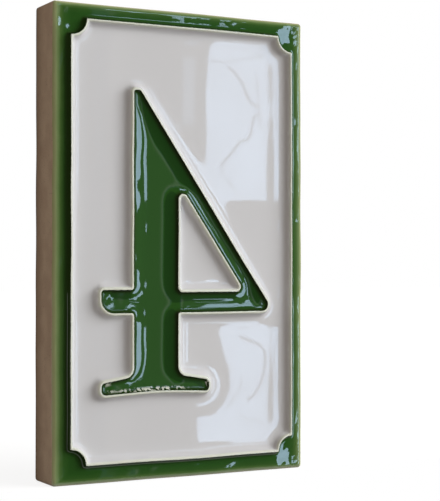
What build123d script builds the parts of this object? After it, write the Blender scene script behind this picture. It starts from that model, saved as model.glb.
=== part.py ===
from build123d import *
import math
import os

# Clay slab, standing upright with its back on the plane Y = 0 and its front towards -Y
tile_width = 90.0
tile_height = 150.0
slab_thickness = 14.9
corner_radius = 1.2
shoulder_radius = 1.5
back_chamfer = 0.5

# Keying slots pressed into the back for the mortar
slot_width = 6.0
slot_depth = 1.2
slot_pitch = 12.0
slot_margin = 10.0

# Raised ridges that hold the glazes apart: height over the border band, and depth of the pools within
ridge_height = 2.0
field_depth = 2.3
groove_depth = 0.7
crest_width = 0.5
band_flank = 2.0
field_flank = 3.0
groove_floor = 0.8
least_radius = 0.25

# Profile of a flank, a sine curve drawn in towards the crest; at a phase of pi / 2 its foot would be level
foot_phase = 1.25
crest_draw = 0.6
flank_steps = [0, 0.06, 0.2, 0.45, 1]

# Border ridge, a rectangle with a quarter circle bitten out of each corner
border_margin = 5.4
border_top_margin = 5.5
border_base_margin = 6.3
notch_radius = 5.2

# Numeral, a mirrored serif four, placed between the border ridges
arm_clearance = 9.7
toe_clearance = 6.7
top_clearance = 20.7
base_clearance = 21.0
tip_width = 2.7
stem_width = 16.2
arm_length = 11.2
arm_thickness = 7.9
bar_thickness = 7.0
bar_level = 25.5
diagonal_width = 5.8
serif_reach = 11.1
serif_thickness = 4.2
serif_rise = 1.8
serif_arch = 0.9

# Corner radii of the numeral's crest line
tip_radius = 0.9
brow_radius = 1.4
joint_radius = 0.5
arm_top_radius = 1.2
arm_end_radius = 4.6
bracket_radius = 3.0
serif_radius = 1.6
arch_radius = 140.0
toe_radius = 2.4
counter_radius = 1.4

# Crest level, border lines and numeral lines worked out from the sizes above
crest_level = slab_thickness + ridge_height
border_half_width = tile_width / 2 - border_margin
border_top = tile_height / 2 - border_top_margin
border_base = -tile_height / 2 + border_base_margin
arm_left = -border_half_width + arm_clearance
stem_left = arm_left + arm_length
stem_right = stem_left + stem_width
stem_middle = (stem_left + stem_right) / 2
toe_right = border_half_width - toe_clearance
numeral_top = border_top - top_clearance
numeral_base = border_base + base_clearance
bar_bottom = numeral_base + bar_level
bar_top = bar_bottom + bar_thickness
arm_top = bar_bottom + arm_thickness
tip_right = stem_left + tip_width
serif_end_top = numeral_base + serif_thickness
serif_stem_top = serif_end_top + serif_rise

# The numeral's diagonal, and how far its inner edge is shifted along X
diagonal_run = (toe_right - tip_right) / (numeral_top - bar_bottom)
diagonal_shift = diagonal_width * math.hypot(1, diagonal_run)

# Flank width inside the numeral, which leaves a floor at the tip and in the serif
tip_closing = 1 + math.hypot(1, diagonal_run) - diagonal_run
groove_reach = min(serif_thickness / 2, tip_width / tip_closing) - groove_floor / 2
groove_flank = groove_reach - crest_width / 2


def diagonal_inner(z):
    """X of the diagonal's inner crest line at height z."""
    return toe_right - diagonal_shift - diagonal_run * (z - bar_bottom)


def counter_top():
    """Height at which the diagonal's inner crest line meets the stem."""
    return bar_bottom + (toe_right - diagonal_shift - stem_right) / diagonal_run


# Crest lines, each corner as X, Z and radius, running anticlockwise seen from the front
numeral_corners = [
    (stem_left, numeral_top, tip_radius),
    (stem_left, arm_top, joint_radius),
    (arm_left, arm_top, arm_top_radius),
    (arm_left, bar_bottom, arm_end_radius),
    (stem_left, bar_bottom, joint_radius),
    (stem_left, serif_stem_top, bracket_radius),
    (stem_left - serif_reach, serif_end_top, serif_radius),
    (stem_left - serif_reach, numeral_base, serif_radius),
    (stem_middle, numeral_base + serif_arch, arch_radius),
    (stem_right + serif_reach, numeral_base, serif_radius),
    (stem_right + serif_reach, serif_end_top, serif_radius),
    (stem_right, serif_stem_top, bracket_radius),
    (stem_right, bar_bottom, joint_radius),
    (toe_right, bar_bottom, toe_radius),
    (tip_right, numeral_top, brow_radius),
]
counter_corners = [
    (stem_right, bar_top, counter_radius),
    (diagonal_inner(bar_top), bar_top, counter_radius),
    (stem_right, counter_top(), counter_radius),
]


def rounded_outline(corners, grow, foot):
    """Face inside a crest line moved outwards by grow, with corners that stay round as far as foot."""
    points = [Vector(x, z) for x, z, radius in corners]
    count = len(points)
    sides = [(points[(i + 1) % count] - points[i]).normalized() for i in range(count)]
    moved = []
    radii = []
    for i, (x, z, radius) in enumerate(corners):
        before = Vector(sides[i - 1].Y, -sides[i - 1].X)
        after = Vector(sides[i].Y, -sides[i].X)
        moved.append(points[i] + (before + after) * (grow / (1 + before.dot(after))))
        opening = math.copysign(1, sides[i - 1].cross(sides[i]).Z)
        foot_radius = max(radius + opening * foot, least_radius)
        radii.append(radius + (foot_radius - radius) * grow / foot)
    return make_face(FilletPolyline(*moved, radius=radii, close=True))


def numeral(grow, foot):
    """Face inside the numeral's crest line moved outwards by grow."""
    return rounded_outline(numeral_corners, grow, foot)


def counter(grow, foot):
    """Face inside the counter's crest line moved outwards by grow."""
    return rounded_outline(counter_corners, grow, foot)


def border(grow, foot):
    """Face inside the border's notched crest line moved outwards by grow; foot plays no part."""
    bite = notch_radius + grow * (math.sqrt(2) - 1)
    right = border_half_width + grow
    top = border_top + grow
    base = border_base - grow
    corners = [(right, top), (-right, top), (-right, base), (right, base)]
    arcs = [CenterArc(corner, bite, 270 + 90 * i, -90) for i, corner in enumerate(corners)]
    runs = [Line(arcs[i - 1] @ 1, arcs[i] @ 0) for i in range(4)]
    return make_face(arcs + runs)


def mound(outline, width, depth, side=1):
    """Solid from the crest level down by depth, with a flank that widens from its crest line outwards."""
    crest = side * crest_width / 2
    foot = crest + side * width
    sections = []
    for step in flank_steps:
        fall = math.sin(foot_phase * step ** crest_draw) ** 2 / math.sin(foot_phase) ** 2
        level = Plane.XZ.offset(crest_level - depth * fall)
        sections.append(level * outline(crest + (foot - crest) * step, foot))
    return loft(sections)


def pool(outline, width, depth):
    """Hollow from the crest level down by depth, with a flank that narrows inwards."""
    return mound(outline, width, depth, -1)


def slab():
    """Clay body with rounded edges and keying slots in its back."""
    plan = RectangleRounded(tile_width, tile_height, corner_radius)
    body = extrude(Plane.XZ * plan, slab_thickness)
    front_face = body.faces().sort_by(Axis.Y)[0]
    body = fillet(front_face.edges(), shoulder_radius)
    back_face = body.faces().sort_by(Axis.Y)[-1]
    body = chamfer(back_face.edges(), back_chamfer)
    count = int((tile_height - 2 * slot_margin - slot_width) / slot_pitch) + 1
    slot = SlotOverall(tile_width - 2 * slot_margin, slot_width)
    places = GridLocations(0, slot_pitch, 1, count)
    return body - [extrude(Plane.XZ * place * slot, slot_depth) for place in places]


# Each crest line raises a mound on the floor around it and sinks a pool within
tile = slab() + mound(border, band_flank, ridge_height)
tile -= pool(border, field_flank, field_depth)
tile += mound(numeral, field_flank, field_depth)
tile -= pool(numeral, groove_flank, groove_depth)
tile += mound(counter, groove_flank, groove_depth)
tile -= pool(counter, field_flank, field_depth)

os.makedirs("parts", exist_ok=True)
export_step(tile, "parts/house_number_tile.step")
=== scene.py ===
"""Looks of a ceramic house number tile, whose thin ridges hold a green and a cream glaze apart."""

import logging
import math
from collections.abc import Iterator
from dataclasses import dataclass, field
from enum import Enum

import bmesh
import bpy
import numpy as np
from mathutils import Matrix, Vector
from mathutils.geometry import delaunay_2d_cdt

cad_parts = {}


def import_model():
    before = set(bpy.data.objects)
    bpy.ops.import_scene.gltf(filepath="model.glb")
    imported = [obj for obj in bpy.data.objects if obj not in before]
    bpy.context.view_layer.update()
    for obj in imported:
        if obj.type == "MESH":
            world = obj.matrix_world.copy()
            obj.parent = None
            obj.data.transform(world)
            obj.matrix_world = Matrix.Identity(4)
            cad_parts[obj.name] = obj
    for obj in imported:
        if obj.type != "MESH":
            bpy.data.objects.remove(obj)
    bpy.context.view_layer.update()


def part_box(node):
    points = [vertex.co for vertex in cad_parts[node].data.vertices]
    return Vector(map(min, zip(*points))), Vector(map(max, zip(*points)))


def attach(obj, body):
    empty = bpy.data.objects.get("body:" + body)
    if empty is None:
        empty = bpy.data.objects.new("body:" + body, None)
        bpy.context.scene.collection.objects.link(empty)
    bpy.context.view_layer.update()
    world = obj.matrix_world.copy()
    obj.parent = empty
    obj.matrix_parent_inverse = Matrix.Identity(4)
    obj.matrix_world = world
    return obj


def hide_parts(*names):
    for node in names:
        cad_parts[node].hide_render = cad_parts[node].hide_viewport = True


LOG = logging.getLogger("house_number_tile")

MM = 0.001
NODE = "house_number_tile"
BODY = "root"
PIECE = "glazed_number_tile"

Pair = tuple[float, float]
Colour = tuple[float, float, float]
Socket = bpy.types.NodeSocket
Feed = Socket | float | tuple[float, ...]


class Glaze(Enum):
    """The glaze on one side of a ridge, with the sign that its distances carry."""

    GREEN = 1.0
    CREAM = -1.0


class Mark(Enum):
    """Values stored at each point of the tile: two distances in millimetres and the share of painted shade.
    """

    SIDE = "distance_from_crest"
    RIM = "distance_from_rim"
    # Share of painted shade: the green is darkened beside crests that lie up and to the right, standing in
    # for shade.
    PAINTED_SHADE = "share_of_painted_shade"


class Coat(Enum):
    """Material slots of the tile's mesh."""

    GLAZE = 0
    CLAY = 1


def srgb(red: int, green: int, blue: int) -> Colour:
    """Linear colour of a screen colour.

    Args:
        red: Red from 0 to 255.
        green: Green from 0 to 255.
        blue: Blue from 0 to 255.

    Returns:
        The colour in linear light.
    """
    shares = [channel / 255 for channel in (red, green, blue)]
    linear = [s / 12.92 if s <= 0.04045 else ((s + 0.055) / 1.055) ** 2.4 for s in shares]
    return linear[0], linear[1], linear[2]


def inside(points: np.ndarray, loop: np.ndarray) -> np.ndarray:
    """Tests which points lie within a closed loop.

    Args:
        points: Points to test, one row of X and Z each.
        loop: The loop's points in order.

    Returns:
        A true or false for each point.
    """
    start = loop[None, :, :]
    end = np.roll(loop, -1, axis=0)[None, :, :]
    x = points[:, None, 0]
    z = points[:, None, 1]
    spans = (start[..., 1] > z) != (end[..., 1] > z)
    rise = np.where(spans, end[..., 1] - start[..., 1], 1.0)
    crossing = start[..., 0] + (z - start[..., 1]) * (end[..., 0] - start[..., 0]) / rise
    return np.sum(spans & (x < crossing), axis=1) % 2 == 1


def arc(centre: Pair, radius: float, start: float, turn: float, count: int) -> np.ndarray:
    """Points along an arc.

    Args:
        centre: X and Z of its centre.
        radius: Its radius.
        start: Angle of its first point, anticlockwise from +X, in radians.
        turn: Angle that it covers, negative where it runs clockwise.
        count: Number of points.

    Returns:
        Points in order, one row of X and Z each.
    """
    angles = np.linspace(start, start + turn, count)
    return np.array(centre) + radius * np.stack([np.cos(angles), np.sin(angles)], axis=1)


@dataclass(frozen=True)
class Corner:
    """One corner of a crest line, in millimetres."""

    x: float
    z: float
    radius: float


@dataclass(frozen=True)
class CornerLine:
    """Crest line made of straight runs and rounded corners, anticlockwise seen from the front."""

    corners: tuple[Corner, ...]
    run_step: float = 0.5
    turn_step: float = math.radians(9)
    least_radius: float = 0.25
    least_steps: int = 3

    def sides(self) -> np.ndarray:
        """Directions of the straight runs.

        Returns:
            Vectors of length 1, each leaving its corner.
        """
        points = np.array([(corner.x, corner.z) for corner in self.corners])
        runs = np.roll(points, -1, axis=0) - points
        return runs / np.linalg.norm(runs, axis=1)[:, None]

    def bends(self, grow: float, foot: float) -> list[np.ndarray]:
        """Rounded corners of the line moved outwards.

        Args:
            grow: How far the line moves outwards, inwards where negative.
            foot: The furthest move on this side, as far as which corners stay round.

        Returns:
            The points of each corner's arc.
        """
        leave = self.sides()
        arcs = []
        for i, corner in enumerate(self.corners):
            come = leave[i - 1]
            go = leave[i]
            out_before = np.array([come[1], -come[0]])
            out_after = np.array([go[1], -go[0]])
            point = np.array([corner.x, corner.z])
            point = point + (out_before + out_after) * grow / (1 + out_before @ out_after)
            turn = math.atan2(come[0] * go[1] - come[1] * go[0], come @ go)
            foot_radius = max(corner.radius + math.copysign(1, turn) * foot, self.least_radius)
            radius = corner.radius + (foot_radius - corner.radius) * grow / foot
            begin = point - come * radius * math.tan(abs(turn) / 2)
            centre = begin - out_before * math.copysign(radius, turn)
            count = max(self.least_steps, math.ceil(abs(turn) / self.turn_step))
            angles = np.linspace(0, turn, count + 1)
            arm = begin - centre
            swung_x = arm[0] * np.cos(angles) - arm[1] * np.sin(angles)
            swung_z = arm[0] * np.sin(angles) + arm[1] * np.cos(angles)
            arcs.append(centre + np.stack([swung_x, swung_z], axis=1))
        return arcs

    def ring(self, grow: float, foot: float) -> np.ndarray:
        """Points of the line moved outwards, as many for any move.

        Args:
            grow: How far the line moves outwards, inwards where negative.
            foot: The furthest move on this side.

        Returns:
            Points in order, one row of X and Z each.
        """
        return join_bends(self.bends(grow, foot), self.bends(0.0, foot), self.run_step)


@dataclass(frozen=True)
class NotchedLine:
    """Crest line of the border, a rectangle with a quarter circle bitten out of each corner."""

    half_width: float
    top: float
    base: float
    notch_radius: float
    run_step: float = 0.5
    notch_points: int = 26

    def bends(self, grow: float) -> list[np.ndarray]:
        """Notches of the line moved outwards.

        Args:
            grow: How far the line moves outwards, inwards where negative.

        Returns:
            The points of each notch's arc.
        """
        bite = self.notch_radius + grow * (math.sqrt(2) - 1)
        right = self.half_width + grow
        top = self.top + grow
        base = self.base - grow
        corners = [(right, top), (-right, top), (-right, base), (right, base)]
        return [arc(corner, bite, math.radians(270 + 90 * quarter), -math.pi / 2, self.notch_points)
                for quarter, corner in enumerate(corners)]

    def ring(self, grow: float, foot: float) -> np.ndarray:
        """Points of the line moved outwards by grow, as many for any move; foot plays no part."""
        return join_bends(self.bends(grow), self.bends(0.0), self.run_step)


def join_bends(bends: list[np.ndarray], rest: list[np.ndarray], step: float) -> np.ndarray:
    """Joins the bends of a line by straight runs.

    Args:
        bends: The points of each bend, in order.
        rest: The same bends on the unmoved line, which settle how many points a run has.
        step: Spacing of the points on a run.

    Returns:
        The closed line's points, the first not repeated at the end.
    """
    parts = []
    for i, bend in enumerate(bends):
        parts.append(bend)
        follower = (i + 1) % len(bends)
        length = np.linalg.norm(rest[follower][0] - rest[i][-1])
        shares = np.linspace(0, 1, max(2, math.ceil(length / step)) + 1)[1:-1, None]
        parts.append(bend[-1] * (1 - shares) + bends[follower][0] * shares)
    return np.concatenate(parts)


@dataclass(frozen=True)
class Meniscus:
    """One share of a pool's depth below the crests, with the reach over which the glaze creeps up."""

    depth: float
    reach: float


@dataclass(frozen=True)
class Ripple:
    """Faint unevenness of a fired surface, a sum of long waves in fixed directions."""

    height: float
    length: float
    seed: int
    waves: int = 7
    shortest: float = 0.7
    variety: float = 0.8

    def at(self, points: np.ndarray) -> np.ndarray:
        """Height of the unevenness.

        Args:
            points: Points on the tile, one row of X and Z each.

        Returns:
            The height at each point.
        """
        draw = np.random.default_rng(self.seed)
        total = np.zeros(len(points))
        for angle, phase, stretch in draw.random((self.waves, 3)):
            way = np.array([math.cos(2 * math.pi * angle), math.sin(2 * math.pi * angle)])
            length = self.length * (self.shortest + self.variety * stretch)
            total += np.sin(2 * math.pi * (points @ way / length + phase))
        return total * self.height / math.sqrt(self.waves)


@dataclass
class Relief:
    """Depth of the glazes below the crests, to which they are drawn up as a liquid is."""

    sample_step: float = 0.25
    crest_half_width: float = 0.1
    softness: float = 0.06
    batch: int = 1500
    samples: np.ndarray = field(default_factory=lambda: np.zeros((0, 2)))
    weights: np.ndarray = field(default_factory=lambda: np.zeros(0))

    def follow(self, ring: np.ndarray) -> None:
        """Adds a crest line to those that draw the glaze up.

        Args:
            ring: The closed line's points in order.
        """
        ends = np.roll(ring, -1, axis=0)
        for start, end in zip(ring, ends):
            length = float(np.linalg.norm(end - start))
            count = max(1, math.ceil(length / self.sample_step))
            shares = np.arange(count)[:, None] / count
            self.samples = np.concatenate([self.samples, start * (1 - shares) + end * shares])
            self.weights = np.concatenate([self.weights, np.full(count, length / count)])

    def offsets(self, points: np.ndarray) -> Iterator[tuple[slice, np.ndarray, np.ndarray]]:
        """Goes through points in batches that fit in the memory.

        Args:
            points: Points on the front, one row of X and Z each.

        Yields:
            Which points the batch holds, and how far along X and Z every crest sample lies from each.
        """
        for low in range(0, len(points), self.batch):
            some = slice(low, low + self.batch)
            across = self.samples[None, :, 0] - points[some, None, 0]
            along = self.samples[None, :, 1] - points[some, None, 1]
            yield some, across, along

    def measure(self, points: np.ndarray, pool: tuple[Meniscus, ...]) -> tuple[np.ndarray, np.ndarray]:
        """Works out the surface of one pool at some points.

        Args:
            points: Points on the front, one row of X and Z each.
            pool: The shares of the pool's depth.

        Returns:
            The depth below the crests and the distance from the nearest crest, one value a point.
        """
        depths = np.zeros(len(points))
        nearest = np.zeros(len(points))
        for some, across, along in self.offsets(points):
            square = (across * across + along * along).astype(np.float32)
            nearest[some] = np.sqrt(square.min(axis=1))
            square = np.maximum(np.sqrt(square) - self.crest_half_width, 0) ** 2
            for meniscus in pool:
                depths[some] += meniscus.depth * (1 - self.pull(square, meniscus.reach))
        return depths, nearest

    def lean(self, points: np.ndarray, reach: float, toward: Pair) -> np.ndarray:
        """Works out how squarely crests on one side lie near each point, which sets the painted shade.

        Args:
            points: Points on the front, one row of X and Z each.
            reach: Distance at which a straight crest counts most.
            toward: Direction of the crests that count fully, as X and Z of a vector of length 1.

        Returns:
            The lean at each point, up to 1 before a straight crest and negative behind it.
        """
        lean_sum = np.zeros(len(points))
        for some, across, along in self.offsets(points):
            fading = np.exp((across * across + along * along) / (-2 * reach**2))
            lean_sum[some] = ((across * toward[0] + along * toward[1]) * fading) @ self.weights
        return lean_sum / (reach**2 * math.sqrt(2 * math.pi) * math.exp(-0.5))

    def pull(self, square: np.ndarray, reach: float) -> np.ndarray:
        """Share of a full lift by the crests, levelled off softly where it would pass 1.

        Args:
            square: Squared distances, a row of all crest samples for each point.
            reach: How far the crests draw.

        Returns:
            The share at each point.
        """
        whole = np.exp(square / (-2 * reach**2)) @ self.weights / (reach * math.sqrt(2 * math.pi))
        level = 1 + self.softness * math.log(2)
        return whole * level - self.softness * np.log1p(np.exp((whole * level - 1) / self.softness))


@dataclass
class Sheet:
    """Mesh in the making: points with their marks, and faces with their coat."""

    flat: list[np.ndarray] = field(default_factory=list)
    base: list[np.ndarray] = field(default_factory=list)
    lift: list[np.ndarray] = field(default_factory=list)
    sign: list[np.ndarray] = field(default_factory=list)
    rim: list[np.ndarray] = field(default_factory=list)
    faces: list[list[int]] = field(default_factory=list)
    coats: list[int] = field(default_factory=list)
    count: int = 0
    row_bend: float = 0.0005
    weld: float = 1e-7
    clearance: float = 0.6

    def add(self, flat: np.ndarray, base: float, lift: float, sign: float, rim: np.ndarray) -> np.ndarray:
        """Adds points.

        Args:
            flat: X and Z of each point.
            base: Height of the bare slab there over its back.
            lift: Share of the glaze's height that the points take.
            sign: Sign of the glaze there, or 0 on a crest and off the front.
            rim: Distance of each point in from the slab's rim, negative down the sides.

        Returns:
            The numbers of the new points.
        """
        size = len(flat)
        self.flat.append(flat)
        self.base.append(np.full(size, base))
        self.lift.append(np.full(size, lift))
        self.sign.append(np.full(size, sign))
        self.rim.append(rim)
        numbers = np.arange(self.count, self.count + size)
        self.count += size
        return numbers

    def bridge(self, first: np.ndarray, second: np.ndarray, coat: Coat) -> np.ndarray:
        """Joins two rings of equal count by a strip of faces.

        Args:
            first: Point numbers of one ring.
            second: Point numbers of the ring next to it, outwards on the front.
            coat: What covers the strip.

        Returns:
            The second ring's point numbers, from which the next strip may start.
        """
        strip = np.stack([first, second, np.roll(second, -1), np.roll(first, -1)], axis=1)
        self.cover(strip, coat)
        return second

    def plan(self, numbers: np.ndarray) -> np.ndarray:
        """X and Z of some points."""
        return np.concatenate(self.flat)[numbers]

    def triangulate(self, outer: np.ndarray, holes: list[np.ndarray], loose: np.ndarray) -> np.ndarray:
        """Triangles over the area within a ring and outside its holes.

        Args:
            outer: Numbers of the ring's points.
            holes: Numbers of each hole's points.
            loose: Numbers of points within the area.

        Returns:
            The numbers of each triangle's points, one row each.
        """
        loops = [outer, *holes]
        numbers = np.concatenate([*loops, loose])
        spots = self.plan(numbers)
        edges = []
        first = 0
        for loop in loops:
            edges += [(first + i, first + (i + 1) % len(loop)) for i in range(len(loop))]
            first += len(loop)
        bent = self.bend(spots)
        made = delaunay_2d_cdt([Vector(spot) for spot in bent], edges, [], 0, self.weld)
        back = np.array([origin[0] for origin in made[3]])
        corners = back[np.array(made[2])]
        middles = bent[corners].mean(axis=1)
        kept = inside(middles, self.bend(self.plan(outer)))
        for hole in holes:
            kept &= ~inside(middles, self.bend(self.plan(hole)))
        return numbers[corners[kept]]

    def bend(self, spots: np.ndarray) -> np.ndarray:
        """Spots with straight rows bent a little, so that no three in a row are in line."""
        return spots + self.row_bend * spots[:, ::-1] ** 2

    def spread(self, outer: np.ndarray, holes: list[np.ndarray], gap: float, near: float = 0.0,
               far: float = math.inf) -> np.ndarray:
        """Even spots over the area within a ring and outside its holes, clear of both.

        Args:
            outer: Numbers of the ring's points.
            holes: Numbers of each hole's points.
            gap: Spacing of the spots.
            near: Least distance of a spot from the ring and the holes.
            far: Greatest distance of a spot from them.

        Returns:
            X and Z of each spot.
        """
        ring = self.plan(outer)
        low = ring.min(axis=0)
        high = ring.max(axis=0)
        rows = np.arange(low[1], high[1], gap * math.sqrt(3) / 2)
        columns = np.arange(low[0], high[0], gap)
        x, z = np.meshgrid(columns, rows)
        x = x + np.where(np.arange(len(rows)) % 2, gap / 2, 0)[:, None]
        spots = np.stack([x.ravel(), z.ravel()], axis=1)
        spots = spots[inside(spots, ring)]
        for hole in holes:
            spots = spots[~inside(spots, self.plan(hole))]
        fence = self.plan(np.concatenate([outer, *holes]))
        apart = np.array([np.linalg.norm(fence - spot, axis=1).min() for spot in spots])
        return spots[(apart > max(self.clearance * gap, near)) & (apart < far)]

    def cover(self, faces: np.ndarray, coat: Coat) -> None:
        """Adds faces, one row of point numbers each."""
        self.faces.extend(faces.tolist())
        self.coats.extend([coat.value] * len(faces))


@dataclass(frozen=True)
class Numeral:
    """Crest lines of a mirrored serif four and of the counter within it, in millimetres."""

    arm_left: float = -29.9
    arm_length: float = 11.2
    arm_thickness: float = 7.9
    stem_width: float = 16.2
    toe_right: float = 32.9
    top: float = 48.8
    base: float = -47.7
    tip_width: float = 2.7
    bar_level: float = 25.5
    bar_thickness: float = 7.0
    diagonal_width: float = 5.8
    serif_reach: float = 11.1
    serif_thickness: float = 4.2
    serif_rise: float = 1.8
    serif_arch: float = 0.9
    tip_radius: float = 0.9
    brow_radius: float = 1.4
    joint_radius: float = 0.5
    arm_top_radius: float = 1.2
    arm_end_radius: float = 4.6
    bracket_radius: float = 3.0
    serif_radius: float = 1.6
    arch_radius: float = 140.0
    toe_radius: float = 2.4
    counter_radius: float = 1.4
    floor_width: float = 0.8

    @property
    def stem_left(self) -> float:
        """X of the stem's left crest."""
        return self.arm_left + self.arm_length

    @property
    def stem_right(self) -> float:
        """X of the stem's right crest."""
        return self.stem_left + self.stem_width

    @property
    def bar_bottom(self) -> float:
        """Height of the crossbar's lower crest."""
        return self.base + self.bar_level

    @property
    def tip_right(self) -> float:
        """X at which the outer diagonal starts from the top."""
        return self.stem_left + self.tip_width

    @property
    def diagonal_run(self) -> float:
        """How far the diagonal leans along X for each millimetre of height."""
        return (self.toe_right - self.tip_right) / (self.top - self.bar_bottom)

    @property
    def groove_reach(self) -> float:
        """How far the inner flanks reach before they would meet at the tip or in the serif."""
        tip_closing = 1 + math.hypot(1, self.diagonal_run) - self.diagonal_run
        return min(self.serif_thickness / 2, self.tip_width / tip_closing) - self.floor_width / 2

    def outline(self) -> CornerLine:
        """Crest line round the numeral.

        Returns:
            The line, from the top down the left side and back up along the diagonal.
        """
        left = self.stem_left
        right = self.stem_right
        bottom = self.bar_bottom
        arm_top = bottom + self.arm_thickness
        end_top = self.base + self.serif_thickness
        stem_top = end_top + self.serif_rise
        middle = (left + right) / 2
        return CornerLine((
            Corner(left, self.top, self.tip_radius),
            Corner(left, arm_top, self.joint_radius),
            Corner(self.arm_left, arm_top, self.arm_top_radius),
            Corner(self.arm_left, bottom, self.arm_end_radius),
            Corner(left, bottom, self.joint_radius),
            Corner(left, stem_top, self.bracket_radius),
            Corner(left - self.serif_reach, end_top, self.serif_radius),
            Corner(left - self.serif_reach, self.base, self.serif_radius),
            Corner(middle, self.base + self.serif_arch, self.arch_radius),
            Corner(right + self.serif_reach, self.base, self.serif_radius),
            Corner(right + self.serif_reach, end_top, self.serif_radius),
            Corner(right, stem_top, self.bracket_radius),
            Corner(right, bottom, self.joint_radius),
            Corner(self.toe_right, bottom, self.toe_radius),
            Corner(self.tip_right, self.top, self.brow_radius),
        ))

    def counter(self) -> CornerLine:
        """Crest line round the counter.

        Returns:
            The line, from its corner at the stem's foot.
        """
        shift = self.diagonal_width * math.hypot(1, self.diagonal_run)
        inner_toe = self.toe_right - shift
        bar_top = self.bar_bottom + self.bar_thickness
        apex = self.bar_bottom + (inner_toe - self.stem_right) / self.diagonal_run
        return CornerLine((
            Corner(self.stem_right, bar_top, self.counter_radius),
            Corner(inner_toe - self.diagonal_run * self.bar_thickness, bar_top, self.counter_radius),
            Corner(self.stem_right, apex, self.counter_radius),
        ))


@dataclass(frozen=True)
class Slab:
    """Clay body of the tile, standing with its back on the plane Y = 0, in millimetres."""

    half_width: float
    half_height: float
    thickness: float = 14.9
    corner_radius: float = 1.2
    least_corner: float = 0.3
    shoulder_radius: float = 1.5
    long_side_thinning: float = 1.7
    back_chamfer: float = 0.5
    edge_step: float = 0.8
    corner_points: int = 7
    shoulder_rings: int = 9
    side_rings: int = 8
    glazed_side_rings: int = 2
    slot_width: float = 6.0
    slot_depth: float = 1.2
    slot_pitch: float = 12.0
    slot_margin: float = 10.0
    slot_end_points: int = 13
    slot_step: float = 4.0

    def bends(self, inset: float) -> list[np.ndarray]:
        """Corners of a rounded rectangle round the slab.

        Args:
            inset: How far it lies within the slab's outline.

        Returns:
            The points of each corner's arc.
        """
        radius = max(self.corner_radius - inset, self.least_corner)
        x = self.half_width - inset - radius
        z = self.half_height - inset - radius
        return [arc(centre, radius, math.pi / 2 * quarter, math.pi / 2, self.corner_points)
                for quarter, centre in enumerate([(x, z), (-x, z), (-x, -z), (x, -z)])]

    def ring(self, inset: float) -> np.ndarray:
        """Points of a rounded rectangle at an inset from the slab's outline, as many for any inset."""
        return join_bends(self.bends(inset), self.bends(0.0), self.edge_step)

    def rim_distance(self, points: np.ndarray) -> np.ndarray:
        """Distance in from the outline, shortened at the long sides, where the glaze is thin."""
        from_side = (self.half_width - np.abs(points[:, 0])) / self.long_side_thinning
        return np.minimum(from_side, self.half_height - np.abs(points[:, 1]))

    def slots(self) -> list[np.ndarray]:
        """Outlines of the keying slots in the back, each a run with round ends.

        Returns:
            The points of each outline in order.
        """
        length = 2 * self.half_height - 2 * self.slot_margin - self.slot_width
        count = int(length / self.slot_pitch) + 1
        radius = self.slot_width / 2
        reach = self.half_width - self.slot_margin - radius
        outlines = []
        for place in range(count):
            level = (place - (count - 1) / 2) * self.slot_pitch
            ends = [arc((reach, level), radius, -math.pi / 2, math.pi, self.slot_end_points),
                    arc((-reach, level), radius, math.pi / 2, math.pi, self.slot_end_points)]
            outlines.append(join_bends(ends, ends, self.slot_step))
        return outlines


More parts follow.
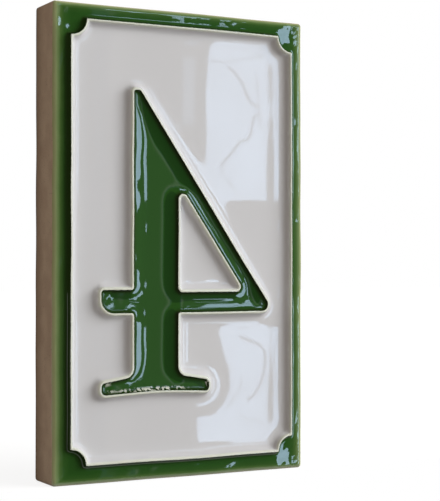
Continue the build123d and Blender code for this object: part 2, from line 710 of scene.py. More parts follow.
@dataclass(frozen=True)
class Tile:
    """The whole tile: slab, ridges and glaze pools in one closed mesh, in millimetres."""

    slab: Slab
    numeral: Numeral = Numeral()
    border_margin: float = 5.4
    border_top_margin: float = 5.5
    border_base_margin: float = 6.3
    notch_radius: float = 5.2
    band_reach: float = 2.25
    field_reach: float = 3.25
    ridge_height: float = 2.0
    band_pool: tuple[Meniscus, ...] = (Meniscus(0.7, 0.22), Meniscus(1.3, 0.5))
    field_pool: tuple[Meniscus, ...] = (Meniscus(0.6, 0.33), Meniscus(0.95, 0.68), Meniscus(0.6, 1.0),
                                        Meniscus(0.15, 1.8))
    stroke_pool: tuple[Meniscus, ...] = (Meniscus(0.15, 0.25), Meniscus(0.68, 0.43), Meniscus(0.4, 2.05))
    pool_gap: float = 1.2
    foot_gap: float = 0.6
    foot_reach: float = 2.1
    back_gap: float = 5.0
    ring_shares: tuple[float, ...] = (0.04, 0.08, 0.12, 0.16, 0.21, 0.27, 0.34, 0.43, 0.55, 0.7, 0.85, 1.0)
    waviness: Ripple = Ripple(0.003, 19.0, 4)
    band_waves: Ripple = Ripple(0.022, 8.0, 8)
    stroke_waves: Ripple = Ripple(0.03, 9.0, 8)
    stroke_waves_reach: float = 3.2
    pocket_waves: Ripple = Ripple(0.045, 4.5, 5)
    pocket_depth: float = 0.3
    pocket_inset: float = 4.0
    pocket_reach: float = 4.5
    band_overlap: float = 0.1
    # Painted shade: reach and direction of the crests beside which the green is painted darker, as shade
    # from light at the upper right.
    shade_reach: float = 2.0
    shade_toward: Pair = (0.8, 0.6)
    calm_reach: float = 3.0
    stroke_calm_reach: float = 1.2
    far_off: float = 9.0
    sway_x: Ripple = Ripple(0.07, 26.0, 11)
    sway_z: Ripple = Ripple(0.07, 26.0, 12)
    sharp_angle: float = 38.0

    def border(self) -> NotchedLine:
        """Crest line of the border.

        Returns:
            The line, at its margins from the slab's outline.
        """
        slab = self.slab
        top = slab.half_height - self.border_top_margin
        base = -slab.half_height + self.border_base_margin
        return NotchedLine(slab.half_width - self.border_margin, top, base, self.notch_radius)

    def lay(self, sheet: Sheet, spots: np.ndarray, sign: float) -> np.ndarray:
        """Adds points of the front at some spots, with the sign of the glaze there."""
        return sheet.add(spots, self.slab.thickness, 1.0, sign, self.slab.rim_distance(spots))

    def ridge(self, sheet: Sheet, line: CornerLine | NotchedLine, outer: float, inner: float,
              outside: Glaze) -> tuple[np.ndarray, np.ndarray]:
        """Adds the strips on both sides of a crest line.

        Args:
            sheet: The mesh in the making.
            line: The crest line.
            outer: How far the strip outside it reaches.
            inner: How far the strip inside it reaches.
            outside: The glaze outside the line.

        Returns:
            The point numbers of the outermost and the innermost ring.
        """
        middle = self.lay(sheet, line.ring(0.0, outer), 0.0)
        ends = []
        for foot, sign in [(outer, outside.value), (-inner, -outside.value)]:
            last = middle
            for share in self.ring_shares:
                numbers = self.lay(sheet, line.ring(foot * share, foot), sign)
                nested = (last, numbers) if foot > 0 else (numbers, last)
                sheet.bridge(*nested, Coat.GLAZE)
                last = numbers
            ends.append(last)
        return ends[0], ends[1]

    def pool(self, sheet: Sheet, outer: np.ndarray, holes: list[np.ndarray], glaze: Glaze) -> None:
        """Adds a pool's floor.

        Args:
            sheet: The mesh in the making.
            outer: Point numbers of the ring round the floor.
            holes: Point numbers of each ring round a gap in it.
            glaze: The glaze in the pool.
        """
        spots = np.concatenate([
            sheet.spread(outer, holes, self.foot_gap, 0.0, self.foot_reach),
            sheet.spread(outer, holes, self.pool_gap, self.foot_reach + self.foot_gap / 2),
        ])
        loose = self.lay(sheet, spots, glaze.value)
        sheet.cover(sheet.triangulate(outer, holes, loose), Coat.GLAZE)

    def front(self, sheet: Sheet) -> np.ndarray:
        """Adds the glazed front.

        Args:
            sheet: The mesh in the making.

        Returns:
            The point numbers of the ring where the shoulder starts.
        """
        border = self.border()
        groove = self.numeral.groove_reach
        outline = self.numeral.outline()
        counter = self.numeral.counter()
        band_foot, frame_foot = self.ridge(sheet, border, self.band_reach, self.field_reach, Glaze.GREEN)
        field_foot, stroke_foot = self.ridge(sheet, outline, self.field_reach, groove, Glaze.CREAM)
        bar_foot, counter_foot = self.ridge(sheet, counter, groove, self.field_reach, Glaze.GREEN)
        start = self.lay(sheet, self.slab.ring(self.slab.shoulder_radius), Glaze.GREEN.value)
        self.pool(sheet, start, [band_foot], Glaze.GREEN)
        self.pool(sheet, frame_foot, [field_foot], Glaze.CREAM)
        self.pool(sheet, stroke_foot, [bar_foot], Glaze.GREEN)
        self.pool(sheet, counter_foot, [], Glaze.CREAM)
        return start

    def edges(self, sheet: Sheet, start: np.ndarray) -> np.ndarray:
        """Adds the rounded shoulder, the sides and the back's chamfer.

        Args:
            sheet: The mesh in the making.
            start: Point numbers of the ring where the shoulder starts.

        Returns:
            The point numbers of the ring round the back.
        """
        slab = self.slab
        last = start
        for angle in np.linspace(0, math.pi / 2, slab.shoulder_rings + 1)[1:]:
            inset = slab.shoulder_radius * (1 - math.sin(angle))
            height = slab.thickness - slab.shoulder_radius * (1 - math.cos(angle))
            spots = slab.ring(inset)
            rim = slab.rim_distance(spots)
            numbers = sheet.add(spots, height, math.cos(angle), Glaze.GREEN.value, rim)
            last = sheet.bridge(last, numbers, Coat.GLAZE)
        outline = slab.ring(0.0)
        top = slab.thickness - slab.shoulder_radius
        for place, height in enumerate(np.linspace(top, slab.back_chamfer, slab.side_rings + 1)[1:]):
            numbers = sheet.add(outline, height, 0.0, Glaze.GREEN.value, np.full(len(outline), height - top))
            coat = Coat.GLAZE if place < slab.glazed_side_rings else Coat.CLAY
            last = sheet.bridge(last, numbers, coat)
        spots = slab.ring(slab.back_chamfer)
        numbers = sheet.add(spots, 0.0, 0.0, 0.0, np.full(len(spots), -top))
        return sheet.bridge(last, numbers, Coat.CLAY)

    def back(self, sheet: Sheet, rim_ring: np.ndarray) -> None:
        """Adds the flat back with its keying slots.

        Args:
            sheet: The mesh in the making.
            rim_ring: Point numbers of the ring round the back.
        """
        depth = -self.slab.thickness
        mouths = []
        for outline in self.slab.slots():
            deep = np.full(len(outline), depth)
            mouth = sheet.add(outline, 0.0, 0.0, 0.0, deep)
            floor = sheet.add(outline, self.slab.slot_depth, 0.0, 0.0, deep)
            sheet.bridge(mouth, floor, Coat.CLAY)
            sheet.cover(sheet.triangulate(floor, [], floor[:0]), Coat.CLAY)
            mouths.append(mouth)
        spots = sheet.spread(rim_ring, mouths, self.back_gap)
        loose = sheet.add(spots, 0.0, 0.0, 0.0, np.full(len(spots), depth))
        sheet.cover(sheet.triangulate(rim_ring, mouths, loose), Coat.CLAY)

    def build(self) -> bpy.types.Object:
        """Makes the tile's mesh object.

        Returns:
            The object, in metres in the shared frame.
        """
        sheet = Sheet()
        start = self.front(sheet)
        rim_ring = self.edges(sheet, start)
        self.back(sheet, rim_ring)
        flat = np.concatenate(sheet.flat)
        lift = np.concatenate(sheet.lift)
        sign = np.concatenate(sheet.sign)
        # The third value, pool, is the share of painted shade beside crests that lie up and to the right.
        height, side, pool = self.relief(flat, sign, lift > 0)
        level = np.concatenate(sheet.base) + lift * height
        swayed = flat + np.stack([self.sway_x.at(flat), self.sway_z.at(flat)], axis=1)
        corners = np.stack([swayed[:, 0], -level, swayed[:, 1]], axis=1) * MM
        mesh = bpy.data.meshes.new(PIECE)
        mesh.from_pydata(corners.tolist(), [], sheet.faces)
        mesh.polygons.foreach_set("material_index", np.array(sheet.coats, dtype=np.int32))
        for mark, values in [(Mark.SIDE, side), (Mark.RIM, np.concatenate(sheet.rim)), (Mark.PAINTED_SHADE, pool)]:
            store(mesh, mark.value, "POINT", values)
        face_outwards(mesh)
        mesh.shade_smooth()
        mesh.set_sharp_from_angle(angle=math.radians(self.sharp_angle))
        return add_object(PIECE, mesh)

    def waves(self, flat: np.ndarray, framed: np.ndarray, stroke: np.ndarray,
              apart: np.ndarray) -> np.ndarray:
        """Works out the unevenness of the glazes, which calms down towards the crests.

        Args:
            flat: X and Z of every point of the mesh.
            framed: Which points lie within the border's crest.
            stroke: Which points lie in the numeral's stroke.
            apart: Distance of each point from the nearest crest.

        Returns:
            The height of the unevenness, one value a point.
        """
        middle = np.array([self.slab.half_width, self.slab.half_height]) - self.pocket_inset
        pocket = np.exp(-((np.linalg.norm(middle - np.abs(flat), axis=1) / self.pocket_reach) ** 2))
        band = self.band_waves.at(flat) + pocket * (self.pocket_waves.at(flat) - self.pocket_depth)
        stem = np.clip((self.numeral.stem_right - flat[:, 0]) / self.stroke_waves_reach, 0, 1)
        fading = np.exp(-((apart / self.stroke_waves_reach) ** 2))
        total = self.waviness.at(flat) + np.where(framed, 0.0, band)
        total += np.where(stroke, stem * fading * self.stroke_waves.at(flat), 0.0)
        calm = np.clip(apart / np.where(stroke, self.stroke_calm_reach, self.calm_reach), 0, 1)
        return calm * total

    def relief(self, flat: np.ndarray, sign: np.ndarray,
               raised: np.ndarray) -> tuple[np.ndarray, np.ndarray, np.ndarray]:
        """Works out the glazes' surface.

        Args:
            flat: X and Z of every point of the mesh.
            sign: Sign of the glaze at each point.
            raised: Which points are on the front and the shoulder.

        Returns:
            The height over the slab, the signed distance from the nearest crest and the share of painted
            shade, one value a point.
        """
        crests = [self.border(), self.numeral.outline(), self.numeral.counter()]
        lines = [crest.ring(0.0, 1.0) for crest in crests]
        relief = Relief()
        for line in lines:
            relief.follow(line)
        framed, lettered, countered = (inside(flat, line) for line in lines)
        stroke = lettered & ~countered
        zones = [(~framed, self.band_pool), (framed & ~stroke, self.field_pool), (stroke, self.stroke_pool)]
        depth = np.zeros(len(flat))
        apart = np.full(len(flat), self.far_off)
        for zone, pool in zones:
            some = zone & raised
            depth[some], apart[some] = relief.measure(flat[some], pool)
        height = self.ridge_height - depth + self.waves(flat, framed, stroke, apart)
        side = apart * sign + np.where(framed, 0.0, self.band_overlap)
        # Share of painted shade in the numeral's stroke, highest beside crests that lie up and to the right.
        thick = np.zeros(len(flat))
        some = stroke & raised
        thick[some] = relief.lean(flat[some], self.shade_reach, self.shade_toward)
        return height, side, thick

    def dress(self, piece: bpy.types.Object) -> None:
        """Gives the tile its glazes and its bare clay.

        Args:
            piece: The tile's mesh object.
        """
        clay = BareClay()
        piece.data.materials.append(RidgedGlaze(clay, self.slab.thickness).material())
        piece.data.materials.append(clay.material())


def face_outwards(mesh: bpy.types.Mesh) -> None:
    """Turns every face of a closed mesh outwards.

    Args:
        mesh: The mesh, which is changed in place.
    """
    work = bmesh.new()
    work.from_mesh(mesh)
    bmesh.ops.recalc_face_normals(work, faces=work.faces)
    work.to_mesh(mesh)
    work.free()


def store(mesh: bpy.types.Mesh, name: str, domain: str, values: np.ndarray | list[float]) -> None:
    """Stores one value a point or a face in a mesh, for its material."""
    layer = mesh.attributes.new(name, "FLOAT", domain)
    layer.data.foreach_set("value", np.asarray(values, dtype=np.float32))


def add_object(name: str, data: bpy.types.ID) -> bpy.types.Object:
    """Adds an object to the scene.

    Args:
        name: Its name.
        data: Its mesh, lamp or camera.

    Returns:
        The new object.
    """
    made = bpy.data.objects.new(name, data)
    bpy.context.scene.collection.objects.link(made)
    return made


@dataclass(frozen=True)
class Pattern:
    """Cloudy pattern, with the size of its patches in metres and how finely they are broken up."""

    size: float
    detail: float


class NodeSheet:
    """A node tree with short ways to add the nodes that the finishes use."""

    def __init__(self, tree: bpy.types.NodeTree) -> None:
        """Empties a tree to build in it."""
        self.tree = tree
        self.tree.nodes.clear()

    def node(self, kind: str, feeds: dict[str | int, Feed], **settings: object) -> bpy.types.Node:
        """Adds a node.

        Args:
            kind: The node's type.
            feeds: What each named or numbered input takes: a socket, a number or a colour.
            settings: The node's own options.

        Returns:
            The new node.
        """
        made = self.tree.nodes.new(kind)
        for name, value in settings.items():
            setattr(made, name, value)
        for key, feed in feeds.items():
            if isinstance(feed, Socket):
                self.tree.links.new(feed, made.inputs[key])
            elif isinstance(feed, tuple) and len(feed) == 3 and made.inputs[key].type == "RGBA":
                made.inputs[key].default_value = (*feed, 1.0)
            else:
                made.inputs[key].default_value = feed
        return made

    def stored(self, name: str) -> Socket:
        """One of the values stored in the mesh."""
        return self.node("ShaderNodeAttribute", {}, attribute_name=name).outputs["Fac"]

    def spot(self) -> Socket:
        """Place on the object, in metres."""
        return self.node("ShaderNodeTexCoord", {}).outputs["Object"]

    def part(self, vector: Socket, axis: str) -> Socket:
        """One coordinate of a vector."""
        return self.node("ShaderNodeSeparateXYZ", {0: vector}).outputs[axis]

    def noise(self, place: Socket, pattern: Pattern) -> Socket:
        """Cloudy pattern from 0 to 1."""
        feeds = {"Vector": place, "Scale": 1 / pattern.size, "Detail": pattern.detail}
        return self.node("ShaderNodeTexNoise", feeds).outputs["Fac"]

    def uneven(self, place: Socket, pattern: Pattern, share: float) -> Socket:
        """Cloudy pattern round 0, with share from its least to its greatest value."""
        return self.product(self.sum(self.noise(place, pattern), -0.5), share)

    def sum(self, first: Feed, second: Feed) -> Socket:
        """Sum of two values."""
        return self.node("ShaderNodeMath", {0: first, 1: second}, operation="ADD").outputs[0]

    def product(self, first: Feed, second: Feed) -> Socket:
        """Product of two values."""
        return self.node("ShaderNodeMath", {0: first, 1: second}, operation="MULTIPLY").outputs[0]

    def between(self, value: Feed, span: Pair, ends: Pair = (0.0, 1.0)) -> Socket:
        """Smooth change from one end to the other while value crosses the span, up or down."""
        feeds = {"Value": value, "From Min": span[0], "From Max": span[1], "To Min": ends[0],
                 "To Max": ends[1]}
        return self.node("ShaderNodeMapRange", feeds, interpolation_type="SMOOTHSTEP").outputs[0]

    def blend(self, share: Feed, first: Feed, second: Feed) -> Socket:
        """Colour that turns from first to second as share goes from 0 to 1."""
        feeds = {0: share, 6: first, 7: second}
        return self.node("ShaderNodeMix", feeds, data_type="RGBA").outputs[2]

    def ramp(self, share: Feed, stops: tuple[tuple[float, Colour], ...]) -> Socket:
        """Colour picked from a row of stops.

        Args:
            share: Place along the row, from 0 to 1.
            stops: The place and the colour of each stop, in order.

        Returns:
            The colour at that place.
        """
        made = self.node("ShaderNodeValToRGB", {0: share})
        row = made.color_ramp.elements
        while len(row) < len(stops):
            row.new(1.0)
        for element, (place, colour) in zip(row, stops):
            element.position = place
            element.color = (*colour, 1.0)
        return made.outputs[0]

    def bump(self, height: Feed) -> Socket:
        """Normal of a surface with small unevenness, its height in millimetres."""
        return self.node("ShaderNodeBump", {"Height": height, "Strength": 1.0, "Distance": MM}).outputs[0]

    def seen(self) -> Socket:
        """Tells 1 where the camera, gloss or glass looks, and 0 for light that spreads."""
        path = self.node("ShaderNodeLightPath", {}).outputs
        return self.sum(self.sum(path["Is Camera Ray"], path["Is Glossy Ray"]), path["Is Transmission Ray"])

    def glow(self, colour: Feed, strength: Feed) -> Socket:
        """Shader that gives light of its own."""
        return self.node("ShaderNodeEmission", {"Color": colour, "Strength": strength}).outputs[0]

    def end(self, shader: Socket) -> None:
        """Ends a material in this shader."""
        self.node("ShaderNodeOutputMaterial", {0: shader})

    def finish(self, feeds: dict[str | int, Feed]) -> None:
        """Ends a material in one glossy shader with these inputs."""
        self.end(self.node("ShaderNodeBsdfPrincipled", feeds).outputs[0])


def new_material(name: str) -> tuple[bpy.types.Material, NodeSheet]:
    """Makes an empty material.

    Args:
        name: Its name.

    Returns:
        The material and the sheet for its nodes.
    """
    material = bpy.data.materials.new(name)
    material.use_nodes = True
    return material, NodeSheet(material.node_tree)


@dataclass(frozen=True)
class BareClay:
    """Unglazed buff clay, clouded and gritty, with painted shade towards the back and a near-black back
    edge.
    """

    light: Colour = srgb(214, 190, 164)
    dark: Colour = srgb(201, 175, 150)
    grit: Colour = srgb(120, 96, 78)
    # Painted shade: the clay turns darker towards the back.
    shaded_back_clay: Colour = srgb(160, 132, 108)
    # Near-black along the back's edge.
    back_edge_dark: Colour = srgb(44, 30, 22)
    roughness: float = 0.86
    grain: Pattern = Pattern(0.0006, 5.0)
    grain_depth: float = 0.06
    clouds: Pattern = Pattern(0.007, 4.0)
    cloud_span: Pair = (0.35, 0.65)
    specks: Pattern = Pattern(0.0005, 1.0)
    speck_span: Pair = (0.68, 0.74)
    speck_share: float = 0.6
    back_shade_start: Pair = (-5.0, -14.0)
    back_shade_end: Pair = (-14.8, -13.6)
    back_edge_start: Pair = (-12.0, -12.7)
    back_edge_end: Pair = (-14.2, -13.4)
    back_edge_share: float = 0.85

    def colour(self, nodes: NodeSheet) -> Socket:
        """Colour of the clay.

        Args:
            nodes: Sheet of the material that takes it.

        Returns:
            The colour at each place.
        """
        place = nodes.spot()
        cloud = nodes.between(nodes.noise(place, self.clouds), self.cloud_span)
        body = nodes.blend(cloud, self.dark, self.light)
        specks = nodes.between(nodes.noise(place, self.specks), self.speck_span)
        speckled = nodes.blend(nodes.product(specks, self.speck_share), body, self.grit)
        rim = nodes.stored(Mark.RIM.value)
        # painted shade, darker towards the back
        near_back = nodes.product(nodes.between(rim, self.back_shade_start), nodes.between(rim, self.back_shade_end))
        back_shaded = nodes.blend(near_back, speckled, self.shaded_back_clay)
        # near-black strip along the back's edge
        at_back_edge = nodes.product(nodes.between(rim, self.back_edge_start), nodes.between(rim, self.back_edge_end))
        return nodes.blend(nodes.product(at_back_edge, self.back_edge_share), back_shaded, self.back_edge_dark)

    def unevenness(self, nodes: NodeSheet) -> Socket:
        """Height of the clay's grain in millimetres."""
        return nodes.product(nodes.noise(nodes.spot(), self.grain), self.grain_depth)

    def material(self) -> bpy.types.Material:
        """Makes the material for the sides and the back.

        Returns:
            The finished material.
        """
        material, nodes = new_material("bare_buff_clay")
        normal = nodes.bump(self.unevenness(nodes))
        nodes.finish({"Base Color": self.colour(nodes), "Roughness": self.roughness, "Normal": normal})
        return material


@dataclass(frozen=True)
class RidgedGlaze:
    """Green and cream glazes that meet along the ridges and run out over the shoulder.

    Distances from a crest and from the rim are in millimetres, and places are in metres.
    """

    clay: BareClay
    level: float
    crest: Colour = srgb(226, 228, 212)
    cream: Colour = srgb(216, 215, 215)
    greens: tuple[tuple[float, Colour], ...] = (
        (0.05, srgb(184, 188, 138)),
        (0.2, srgb(120, 141, 90)),
        (0.34, srgb(76, 108, 52)),
        (0.5, srgb(52, 90, 36)),
        (0.8, srgb(42, 84, 30)),
    )
    # Painted shade: darker green in the numeral's stroke beside crests that lie up and to the right.
    painted_shade_green: Colour = srgb(30, 66, 25)
    # Umber beside every crest on the green side: partly thick glaze at the ridge's foot, partly painted
    # shade.
    umber: Colour = srgb(34, 38, 16)
    thin_reach: float = 4.4
    mottle: Pattern = Pattern(0.009, 3.0)
    mottle_share: float = 0.35
    # Where and how strongly that painted shade darkens the green.
    painted_shade_span: Pair = (0.12, 0.24)
    painted_shade_share: float = 0.9
    umber_span: Pair = (2.0, 0.3)
    umber_share: float = 0.75
    crest_span: Pair = (-0.9, -0.3)
    green_span: Pair = (0.2, 0.34)
    ragged: Pattern = Pattern(0.0008, 4.0)
    ragged_width: float = 0.22
    bead: Pattern = Pattern(0.0011, 2.0)
    bead_span: Pair = (0.49, 0.57)
    bead_reach: Pair = (1.9, 1.0)
    bead_patch: Pattern = Pattern(0.009, 2.0)
    bead_patch_span: Pair = (0.3, 0.42)
    bead_level: Pair = (-0.040, -0.044)
    bead_side: Pair = (-0.1, -0.3)
    bead_share: float = 0.9
    bead_height: float = 0.06
    glazed_drop: float = 0.75
    run_out: Pattern = Pattern(0.004, 4.0)
    run_out_height: float = 0.6
    run_out_fade: float = 0.3
    gloss: float = 0.02
    crest_roughness: float = 0.14
    rough_start: Pair = (-0.7, -0.2)
    rough_end: Pair = (0.55, 0.3)
    refraction: float = 1.52
    shine_span: Pair = (-0.2, 0.4)
    shine: Pair = (0.34, 0.5)

    def beads_and_glints(self, nodes: NodeSheet, place: Socket, side: Socket) -> Socket:
        """Beads along the numeral's base, bumps painted cream as glints where the crest lies left or below.

        Args:
            nodes: Sheet of the material that takes it.
            place: Place on the tile.
            side: Distance from the nearest crest, negative in the cream glaze.

        Returns:
            The share of bead at each place, painted cream as a glint and raised as a bump.
        """
        low = nodes.between(nodes.part(place, "Z"), self.bead_level)
        at_base = nodes.product(low, nodes.between(nodes.stored(Mark.PAINTED_SHADE.value), self.bead_side))
        beads = nodes.product(nodes.between(nodes.noise(place, self.bead), self.bead_span),
                              nodes.between(side, self.bead_reach))
        patchy = nodes.between(nodes.noise(place, self.bead_patch), self.bead_patch_span)
        return nodes.product(nodes.product(beads, at_base), patchy)

    def green(self, nodes: NodeSheet, place: Socket, side: Socket) -> Socket:
        """Green glaze, pale where thin at the rim, darker beside crests from thick glaze and painted shade.

        Args:
            nodes: Sheet of the material that takes it.
            place: Place on the tile.
            side: Distance from the nearest crest, negative in the cream glaze.

        Returns:
            The colour at each place.
        """
        thick = nodes.product(nodes.stored(Mark.RIM.value), 1 / self.thin_reach)
        mottle = nodes.uneven(place, self.mottle, self.mottle_share)
        depth = nodes.sum(thick, nodes.product(mottle, thick))
        # painted shade where the nearest crests lie up and to the right
        shade_mask = nodes.between(nodes.stored(Mark.PAINTED_SHADE.value), self.painted_shade_span)
        share = nodes.product(shade_mask, self.painted_shade_share)
        body = nodes.blend(share, nodes.ramp(depth, self.greens), self.painted_shade_green)
        # umber beside every crest: partly thick glaze at the ridge's foot, partly painted shade
        return nodes.blend(nodes.between(side, self.umber_span, (0.0, self.umber_share)), body, self.umber)

    def bare(self, nodes: NodeSheet, place: Socket) -> Socket:
        """Bare clay past the uneven line where the glaze runs out.

        Args:
            nodes: Sheet of the material that takes it.
            place: Place on the tile.

        Returns:
            The share of clay at each place.
        """
        over_back = nodes.product(nodes.part(place, "Y"), -1 / MM)
        wavy = nodes.sum(over_back, nodes.uneven(place, self.run_out, self.run_out_height))
        lowest = self.level - self.glazed_drop
        return nodes.between(wavy, (lowest, lowest - self.run_out_fade))

    def material(self) -> bpy.types.Material:
        """Makes the material for the front, the shoulder and the top of the sides.

        Returns:
            The finished material.
        """
        material, nodes = new_material("green_and_cream_glaze")
        place = nodes.spot()
        side = nodes.sum(nodes.stored(Mark.SIDE.value), nodes.uneven(place, self.ragged, self.ragged_width))
        # beads: real bumps in the glaze, with cream spots painted in as glints
        beads_and_glints = self.beads_and_glints(nodes, place, side)
        bare = self.bare(nodes, place)
        without_beads = nodes.sum(nodes.product(beads_and_glints, -self.bead_share), 1.0)
        is_green = nodes.product(nodes.between(side, self.green_span), without_beads)
        pale = nodes.blend(nodes.between(side, self.crest_span), self.cream, self.crest)
        glaze = nodes.blend(is_green, pale, self.green(nodes, place, side))
        colour = nodes.blend(bare, glaze, self.clay.colour(nodes))
        on_crest = nodes.product(nodes.between(side, self.rough_start), nodes.between(side, self.rough_end))
        glazed = nodes.sum(nodes.product(on_crest, self.crest_roughness - self.gloss), self.gloss)
        roughness = nodes.sum(nodes.product(bare, self.clay.roughness - self.gloss), glazed)
        grain = nodes.product(bare, self.clay.unevenness(nodes))
        normal = nodes.bump(nodes.sum(grain, nodes.product(beads_and_glints, self.bead_height)))
        shine = nodes.between(side, self.shine_span, self.shine)
        nodes.finish({"Base Color": colour, "Roughness": roughness, "Normal": normal, "IOR": self.refraction,
                      "Specular IOR Level": shine})
        return material


def heading(azimuth: float, elevation: float) -> Vector:
    """Direction from the tile.

    Args:
        azimuth: Degrees to the right of straight ahead of the tile's front.
        elevation: Degrees up.

    Returns:
        A vector of length 1.
    """
    turn = math.radians(azimuth)
    tilt = math.radians(elevation)
    return Vector((math.sin(turn) * math.cos(tilt), -math.cos(turn) * math.cos(tilt), math.sin(tilt)))


@dataclass(frozen=True)
class Pane:
    """Bright pane in front of the tile, with the azimuth and elevation of its corners in degrees."""

    corners: tuple[Pair, ...]
    share: float = 1.0

    @classmethod
    def upright(cls, left: float, right: float, low: float, high: float, share: float = 1.0) -> "Pane":
        """Pane between two azimuths and two elevations."""
        return cls(((left, low), (right, low), (right, high), (left, high)), share)


@dataclass(frozen=True)
class Twig:
    """Thin shade across a pane, along some azimuths and elevations in degrees."""

    path: tuple[Pair, ...]
    width: float = 0.13
    share: float = 0.3

    def strips(self) -> list[list[Pair]]:
        """Works out the strip along each straight run.

        Returns:
            The azimuth and elevation of each strip's four corners.
        """
        spots = np.array(self.path)
        ahead = np.gradient(spots, axis=0)
        across = np.stack([-ahead[:, 1], ahead[:, 0]], axis=1) / np.linalg.norm(ahead, axis=1)[:, None]
        left = (spots + across * self.width / 2).tolist()
        right = (spots - across * self.width / 2).tolist()
        return [[tuple(right[i]), tuple(right[i + 1]), tuple(left[i + 1]), tuple(left[i])]
                for i in range(len(left) - 1)]


@dataclass(frozen=True)
class SoftBox:
    """Rectangular lamp that the gloss does not show, with its place and size as angles seen by the tile."""

    name: str
    azimuth: float
    elevation: float
    width: float
    height: float
    radiance: Colour
    distance: float

    def build(self) -> None:
        """Makes the lamp, facing the tile."""
        lamp = bpy.data.lights.new(self.name, "AREA")
        lamp.shape = "RECTANGLE"
        lamp.size = 2 * self.distance * math.tan(math.radians(self.width) / 2)
        lamp.size_y = 2 * self.distance * math.tan(math.radians(self.height) / 2)
        brightest = max(self.radiance)
        lamp.color = tuple(channel / brightest for channel in self.radiance)
        lamp.energy = brightest * math.pi * lamp.size * lamp.size_y
        holder = add_object(self.name, lamp)
        outward = heading(self.azimuth, self.elevation)
        holder.location = outward * self.distance
        holder.rotation_euler = (-outward).to_track_quat("-Z", "Y").to_euler()
        holder.visible_glossy = False


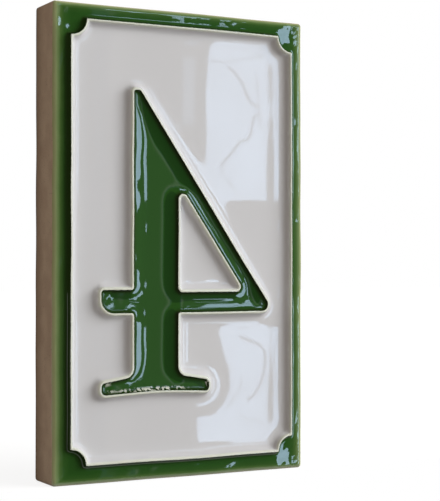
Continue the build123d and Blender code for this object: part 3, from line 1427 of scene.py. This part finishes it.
@dataclass(frozen=True)
class Studio:
    """Pale floor, white background, dim room in front of the tile, a lamp and the camera.

    Azimuths and elevations are in degrees and lengths in metres.
    """

    floor_level: float
    floor_radius: float = 3.2
    floor_front: float = 0.0168
    floor_colour: Colour = (0.25, 0.25, 0.25)
    floor_glow: Pair = (0.86, 1.0)
    floor_glow_span: Pair = (0.08, 0.5)
    white: Colour = (1.0, 1.0, 1.0)
    ambient_left: Colour = (0.3, 0.26, 0.22)
    ambient_right: Colour = (0.28, 0.29, 0.3)
    ambient_span: Pair = (-0.9, 0.7)
    key: SoftBox = SoftBox(name="key", azimuth=54.0, elevation=20.0, width=46.0, height=30.0,
                           radiance=(7.55, 7.6, 7.75), distance=1.6)
    room_radius: float = 3.0
    room_turns: Pair = (-170.0, 130.0)
    room_tilts: Pair = (-80.0, 90.0)
    room_columns: int = 121
    room_rows: int = 35
    dark_glow: Colour = (0.05, 0.04, 0.03)
    left_wall_glow: Colour = (0.9, 0.9, 0.9)
    wall_glow: Colour = (0.2, 0.2, 0.2)
    wall_start: Pair = (22.1, 23.1)
    left_wall_end: Pair = (23.1, 25.1)
    wall_foot: Pair = (-9.0, -8.0)
    wall_top: Pair = (11.4, 10.4)
    past_wall: float = 0.2
    daylight: Colour = (5.2, 6.9, 9.2)
    veil: Pattern = Pattern(0.12, 4.0)
    veil_span: Pair = (0.35, 0.65)
    veil_share: Pair = (0.86, 1.0)
    window_distance: float = 2.8
    twig_distance: float = 2.78
    panes: tuple[Pane, ...] = (
        Pane.upright(27.9, 30.8, 3.05, 10.2),
        Pane(((27.45, -8.35), (30.85, -8.35), (30.85, -3.0), (28.45, -3.0), (28.95, -5.0), (28.95, -5.9),
              (28.7, -6.6), (28.3, -7.15), (27.45, -7.25))),
        Pane(((35.0, 4.6), (43.0, 1.6), (43.0, 16.0), (35.0, 16.0))),
        Pane(((35.5, -15.0), (43.0, -15.0), (43.0, -0.8), (35.5, -2.2))),
        Pane.upright(27.3, 29.0, -1.6, -1.1, 0.8),
        Pane.upright(28.0, 29.2, 1.5, 2.0, 0.8),
        Pane.upright(22.4, 23.1, -20.0, 20.0, 0.05),
        Pane.upright(23.0, 29.5, 15.0, 18.8),
        Pane.upright(26.7, 27.3, 6.6, 9.8, 0.25),
        Pane.upright(26.5, 27.0, 12.0, 14.2),
        Pane.upright(27.2, 27.6, 12.0, 14.2),
        Pane.upright(27.8, 28.3, 12.0, 14.2),
    )
    twigs: tuple[Twig, ...] = (
        Twig(((28.9, 9.3), (29.3, 8.9), (29.66, 8.47), (29.74, 8.06), (29.92, 7.7), (30.25, 7.45))),
        Twig(((30.25, 7.2), (30.02, 6.9), (29.99, 6.4), (29.86, 5.96), (29.4, 5.87), (29.2, 5.5),
              (28.6, 4.7))),
        Twig(((28.6, 4.7), (28.7, 4.2), (29.14, 3.6), (29.35, 3.3)), 0.05),
        Twig(((27.9, 9.65), (28.78, 9.5), (29.77, 9.7), (30.94, 9.8)), 0.05),
        Twig(((30.3, 9.0), (30.28, 8.2), (30.33, 7.2), (30.4, 6.55), (30.7, 6.5), (30.88, 7.2), (30.7, 8.4)),
             0.06),
        Twig(((29.4, -3.5), (30.35, -3.85), (30.6, -4.15), (30.66, -4.8), (30.5, -5.65), (30.2, -6.2),
              (29.8, -6.5))),
        Twig(((29.55, -5.3), (29.4, -6.0), (29.1, -6.45), (28.8, -6.9)), 0.05),
        Twig(((29.4, -7.2), (29.88, -7.5), (30.35, -7.4), (30.7, -7.7)), 0.05),
    )
    focal_pixels: float = 1388.9
    frame_height: int = 501
    near_clip: float = 0.01
    camera_place: tuple[float, float, float] = (-0.20275, -0.41440, -0.00741)
    camera_yaw: float = 28.416
    camera_pitch: float = 0.682

    def window(self) -> bpy.types.Object:
        """Makes the bright panes in the dim room, which only the gloss sees.

        Returns:
            Their object.
        """
        mesh = bpy.data.meshes.new("studio_window")
        shapes = [(pane.corners, self.window_distance, pane.share) for pane in self.panes]
        for twig in self.twigs:
            shapes += [(strip, self.twig_distance, twig.share) for strip in twig.strips()]
        points = [heading(*corner) * distance for corners, distance, share in shapes for corner in corners]
        ends = np.cumsum([len(corners) for corners, distance, share in shapes])
        faces = [tuple(range(end - len(shape[0]), end)) for end, shape in zip(ends.tolist(), shapes)]
        mesh.from_pydata(points, [], faces)
        store(mesh, "share", "FACE", [share for corners, distance, share in shapes])
        material, nodes = new_material("studio_window")
        veil = nodes.between(nodes.noise(nodes.spot(), self.veil), self.veil_span, self.veil_share)
        nodes.end(nodes.glow(self.daylight, nodes.product(nodes.stored("share"), veil)))
        mesh.materials.append(material)
        return self.mirrored_only("studio_window", mesh)

    def mirrored_only(self, name: str, mesh: bpy.types.Mesh) -> bpy.types.Object:
        """Adds an object that shows in the gloss alone.

        Args:
            name: Its name.
            mesh: Its mesh.

        Returns:
            The new object.
        """
        made = add_object(name, mesh)
        made.visible_camera = False
        made.visible_diffuse = False
        made.visible_transmission = False
        made.visible_shadow = False
        return made

    def world(self) -> None:
        """Even ambient light, with white where the camera, gloss or glass looks past the stage."""
        world = bpy.data.worlds.new("studio")
        bpy.context.scene.world = world
        world.use_nodes = True
        nodes = NodeSheet(world.node_tree)
        outward = nodes.node("ShaderNodeTexCoord", {}).outputs["Generated"]
        rightness = nodes.between(nodes.part(outward, "X"), self.ambient_span)
        ambient = nodes.blend(rightness, self.ambient_left, self.ambient_right)
        dim = nodes.node("ShaderNodeBackground", {"Color": ambient, "Strength": 1.0})
        white = nodes.node("ShaderNodeBackground", {"Color": self.white, "Strength": 1.0})
        mixed = nodes.node("ShaderNodeMixShader", {0: nodes.seen(), 1: dim.outputs[0], 2: white.outputs[0]})
        nodes.node("ShaderNodeOutputWorld", {0: mixed.outputs[0]})

    def floor(self) -> bpy.types.Object:
        """Makes the pale floor, which keeps the tile's shadow and looks white beyond it.

        Returns:
            Its object.
        """
        mesh = bpy.data.meshes.new("studio_floor")
        wide = self.floor_radius
        rim = [(-wide, -self.floor_front, self.floor_level), (wide, -self.floor_front, self.floor_level),
               (wide, wide, self.floor_level), (-wide, wide, self.floor_level)]
        mesh.from_pydata(rim, [], [(0, 1, 2, 3)])
        material, nodes = new_material("studio_floor")
        away = nodes.node("ShaderNodeVectorMath", {0: nodes.spot()}, operation="LENGTH").outputs["Value"]
        glowing = nodes.product(nodes.seen(), nodes.between(away, self.floor_glow_span, self.floor_glow))
        matt = nodes.node("ShaderNodeBsdfDiffuse", {"Color": self.floor_colour}).outputs[0]
        both = nodes.node("ShaderNodeAddShader", {0: matt, 1: nodes.glow(self.white, glowing)})
        nodes.end(both.outputs[0])
        mesh.materials.append(material)
        return add_object("studio_floor", mesh)

    def room(self) -> bpy.types.Object:
        """Makes the dim half dome in front of the tile, which only its gloss sees.

        Returns:
            Its object.
        """
        mesh = bpy.data.meshes.new("studio_room")
        turns = np.linspace(*self.room_turns, self.room_columns)
        tilts = np.linspace(*self.room_tilts, self.room_rows)
        points = [heading(turn, tilt) * self.room_radius for tilt in tilts for turn in turns]
        width = self.room_columns
        faces = []
        for row in range(self.room_rows - 1):
            for column in range(width - 1):
                corner = row * width + column
                faces.append((corner, corner + 1, corner + width + 1, corner + width))
        mesh.from_pydata(points, [], faces)
        store(mesh, "turn", "POINT", np.tile(turns, self.room_rows))
        store(mesh, "tilt", "POINT", np.repeat(tilts, width))
        material, nodes = new_material("studio_room")
        turn = nodes.stored("turn")
        tilt = nodes.stored("tilt")
        over_foot = nodes.between(tilt, self.wall_foot, (self.past_wall, 1.0))
        below_top = nodes.between(tilt, self.wall_top, (self.past_wall, 1.0))
        lit = nodes.product(nodes.between(turn, self.wall_start), nodes.product(over_foot, below_top))
        wall = nodes.blend(nodes.between(turn, self.left_wall_end), self.left_wall_glow, self.wall_glow)
        nodes.end(nodes.glow(nodes.blend(lit, self.dark_glow, wall), 1.0))
        mesh.materials.append(material)
        return self.mirrored_only("studio_room", mesh)

    def camera(self) -> None:
        """Makes the camera at the photograph's viewing angle."""
        lens = bpy.data.cameras.new("camera")
        lens.sensor_fit = "AUTO"
        lens.lens = self.focal_pixels * lens.sensor_width / self.frame_height
        lens.clip_start = self.near_clip
        holder = add_object("camera", lens)
        yaw = math.radians(self.camera_yaw)
        pitch = math.radians(self.camera_pitch)
        ahead = Vector((math.sin(yaw) * math.cos(pitch), math.cos(yaw) * math.cos(pitch), math.sin(pitch)))
        holder.location = self.camera_place
        holder.rotation_euler = ahead.to_track_quat("-Z", "Y").to_euler()
        bpy.context.scene.camera = holder

    def build(self) -> None:
        """Sets up the whole studio."""
        bpy.context.scene.view_settings.view_transform = "Standard"
        self.camera()
        self.world()
        self.floor()
        self.room()
        self.window()
        self.key.build()


def main() -> None:
    logging.basicConfig(level=logging.INFO)
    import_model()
    low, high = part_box(NODE)
    slab = Slab(half_width=(high.x - low.x) / 2 / MM, half_height=(high.z - low.z) / 2 / MM)
    tile = Tile(slab)
    piece = tile.build()
    tile.dress(piece)
    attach(piece, BODY)
    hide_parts(NODE)
    LOG.info("%s: %d points, %d faces", piece.name, len(piece.data.vertices), len(piece.data.polygons))
    Studio(floor_level=low.z).build()


if __name__ == "__main__":
    main()
